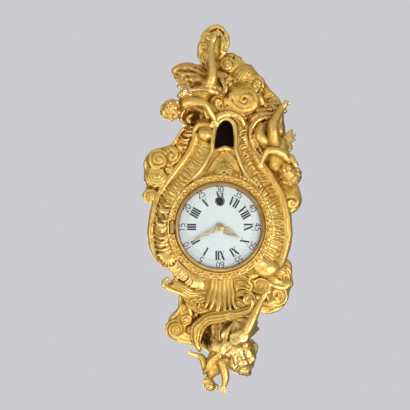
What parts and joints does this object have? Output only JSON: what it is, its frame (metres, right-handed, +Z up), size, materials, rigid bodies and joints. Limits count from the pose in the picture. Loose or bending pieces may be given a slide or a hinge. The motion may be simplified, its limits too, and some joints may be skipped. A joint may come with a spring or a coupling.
{
  "type": "wall clock",
  "caption": "Asymmetric gilt bronze wall clock of scrolls, clouds and figures round an enamel dial, with a hinged glazed bezel and a spring-driven pendulum movement.",
  "frame": {"origin": "centre of the hanging eye on the wall plane, at the back of the back frame", "axes": "+Z up, +Y into the wall, the dial faces -Y, +X to the right as one faces the dial"},
  "size_m": [0.1926, 0.0754, 0.4416],
  "materials": {
    "gilt": "mercury gilding, matt with burnished rims",
    "iron": "blackened iron",
    "drum_brass": "fine brushed",
    "steel": "polished and blued",
    "enamel": "fired white enamel on copper",
    "crystal": "clear domed glass",
    "hand_gilt": "chased and gilded"
  },
  "bodies": {
    "case": {"main_cartouche": "gilt", "left_wing": "gilt", "right_wing": "gilt", "crest_shell": "gilt", "crest_scroll": "gilt", "crest_rocaille": "gilt", "ear_scroll": "gilt", "upper_cloud": "gilt", "left_cloud": "gilt", "right_cloud": "gilt", "lower_cloud": "gilt", "tail_cloud": "gilt", "crest_figure": "gilt", "crest_drapery": "gilt", "left_putto": "gilt", "left_drapery": "gilt", "right_putto": "gilt", "right_drapery": "gilt", "hinge_leaf": "gilt", "back_frame": "iron", "case_screws": "iron", "movement_drum": "drum_brass", "dial_feet": "drum_brass", "front_plate": "drum_brass", "back_plate": "drum_brass", "pillars": "drum_brass", "back_cock": "drum_brass", "hinge_pin": "steel", "pillar_nuts": "steel", "click_spring": "steel", "cock_screws": "steel", "dial": "enamel"},
    "bezel_door": {"bezel": "gilt", "glass": "crystal"},
    "minute_set": {"cannon_pinion": "steel", "minute_hand": "hand_gilt", "hand_nut": "hand_gilt"},
    "minute_wheel_body": {"minute_wheel": "drum_brass"},
    "hour_set": {"hour_wheel": "drum_brass", "hour_hand": "hand_gilt"},
    "barrel_body": {"barrel": "drum_brass"},
    "winding_set": {"winding_arbor": "steel", "ratchet_wheel": "steel"},
    "click_body": {"click": "steel"},
    "intermediate_body": {"intermediate_wheel": "drum_brass"},
    "centre_body": {"centre_wheel": "drum_brass"},
    "third_body": {"third_wheel": "drum_brass"},
    "escape_body": {"escape_wheel": "drum_brass"},
    "anchor_body": {"anchor": "steel", "crutch": "steel"},
    "pendulum": {"suspension": "steel", "pendulum_rod": "steel"},
    "bob": {"pendulum_bob": "drum_brass", "rating_nut": "drum_brass"}
  },
  "joints": [
    {"name": "bezel_hinge", "type": "hinge", "parent": "case", "child": "bezel_door", "pos_m": [0.057, -0.0651, -0.09], "axis": [0, 0, 1], "range_deg": [0, 105]},
    {"name": "minute_hand_turn", "type": "hinge", "parent": "case", "child": "minute_set", "pos_m": [0, 0, -0.09], "axis": [0, 1, 0], "continuous": true},
    {"name": "minute_wheel_turn", "type": "hinge", "parent": "case", "child": "minute_wheel_body", "pos_m": [0.0096, 0, -0.09], "axis": [0, 1, 0], "continuous": true},
    {"name": "hour_hand_turn", "type": "hinge", "parent": "case", "child": "hour_set", "pos_m": [0, 0, -0.09], "axis": [0, 1, 0], "continuous": true},
    {"name": "third_wheel_turn", "type": "hinge", "parent": "case", "child": "third_body", "pos_m": [-0.01053, 0, -0.07745], "axis": [0, 1, 0], "continuous": true},
    {"name": "escape_wheel_turn", "type": "hinge", "parent": "case", "child": "escape_body", "pos_m": [0, 0, -0.06763], "axis": [0, 1, 0], "continuous": true},
    {"name": "centre_wheel_turn", "type": "hinge", "parent": "case", "child": "centre_body", "pos_m": [0, 0, -0.09], "axis": [0, 1, 0], "continuous": true},
    {"name": "intermediate_wheel_turn", "type": "hinge", "parent": "case", "child": "intermediate_body", "pos_m": [0.00865, 0, -0.10521], "axis": [0, 1, 0], "continuous": true},
    {"name": "barrel_turn", "type": "hinge", "parent": "case", "child": "barrel_body", "pos_m": [0, 0, -0.121], "axis": [0, 1, 0], "continuous": true},
    {"name": "winding_turn", "type": "hinge", "parent": "case", "child": "winding_set", "pos_m": [0, 0, -0.121], "axis": [0, 1, 0], "range_deg": [0, 1440]},
    {"name": "click_lift", "type": "hinge", "parent": "case", "child": "click_body", "pos_m": [0.0114, 0, -0.124], "axis": [0, 1, 0], "range_deg": [0, 8], "stiffness_Nm_per_rad": 0.002},
    {"name": "pendulum_swing", "type": "hinge", "parent": "case", "child": "pendulum", "pos_m": [0, 0, -0.05463], "axis": [0, 1, 0], "range_deg": [-4, 4]},
    {"name": "anchor_rock", "type": "hinge", "parent": "case", "child": "anchor_body", "pos_m": [0, 0, -0.05463], "axis": [0, 1, 0], "range_deg": [-4, 4]},
    {"name": "bob_slide", "type": "slide", "parent": "pendulum", "child": "bob", "axis": [0, 0, 1], "range_m": [-0.002, 0.002]}
  ],
  "couplings": [
    {"joint": "minute_wheel_turn", "follows": "minute_hand_turn", "ratio": -0.33333},
    {"joint": "hour_hand_turn", "follows": "minute_hand_turn", "ratio": 0.083333},
    {"joint": "escape_wheel_turn", "follows": "third_wheel_turn", "ratio": -11},
    {"joint": "centre_wheel_turn", "follows": "third_wheel_turn", "ratio": -0.083333},
    {"joint": "intermediate_wheel_turn", "follows": "third_wheel_turn", "ratio": 0.013889},
    {"joint": "barrel_turn", "follows": "third_wheel_turn", "ratio": -0.0017361},
    {"joint": "anchor_rock", "follows": "pendulum_swing", "ratio": 1}
  ]
}
